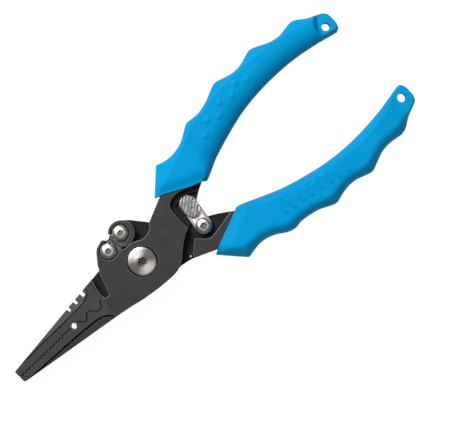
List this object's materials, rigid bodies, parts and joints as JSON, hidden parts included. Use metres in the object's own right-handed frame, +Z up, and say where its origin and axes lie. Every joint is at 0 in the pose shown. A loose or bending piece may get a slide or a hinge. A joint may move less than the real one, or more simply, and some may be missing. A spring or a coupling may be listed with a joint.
{
  "type": "fishing pliers",
  "caption": "Long-nose fishing pliers with side wire cutters, notched jaw back, swing lock and scalloped soft grips with lanyard holes.",
  "frame": {"origin": "middle of the pliers' footprint, on the plane their back rests on", "axes": "+X from the jaw tips to the handle ends, +Y towards the front lever's handle, +Z up through the front face with the latch"},
  "size_m": [0.191, 0.069, 0.014],
  "materials": {
    "coated_levers": "satin charcoal coating",
    "soft_grip": "satin blue soft-touch",
    "stainless_hardware": "turned stainless",
    "satin_latch": "satin stainless",
    "cutter_steel": "dark ground steel",
    "spring_steel": "drawn wire",
    "bronze_bearings": "plain bearing bronze"
  },
  "bodies": {
    "back_half": {"back_lever": "coated_levers", "back_grip": "soft_grip", "back_cutter_blade": "cutter_steel", "back_cutter_washer": "stainless_hardware", "back_cutter_screw": "stainless_hardware", "pivot_screw": "stainless_hardware", "pivot_barrel_nut": "stainless_hardware", "pivot_front_washer": "bronze_bearings", "pivot_back_washer": "bronze_bearings", "lap_washer": "bronze_bearings", "opening_spring": "spring_steel", "spring_anchor_pin": "stainless_hardware", "latch_screw": "stainless_hardware", "latch_bush": "bronze_bearings"},
    "front_half": {"front_lever": "coated_levers", "front_grip": "soft_grip", "front_cutter_blade": "cutter_steel", "front_cutter_washer": "stainless_hardware", "front_cutter_screw": "stainless_hardware"},
    "latch": {"latch_plate": "satin_latch", "latch_thumb_pad": "satin_latch", "latch_spring_washer": "spring_steel"}
  },
  "joints": [
    {"name": "jaw_open", "type": "hinge", "parent": "back_half", "child": "front_half", "pos_m": [-0.0284, 0.0026, 0.007], "axis": [0, 0, 1], "range_deg": [0, 24]},
    {"name": "latch_swing", "type": "hinge", "parent": "back_half", "child": "latch", "pos_m": [-0.00095, -0.0039, 0.011], "axis": [0, 0, 1], "range_deg": [-65, 0]}
  ]
}
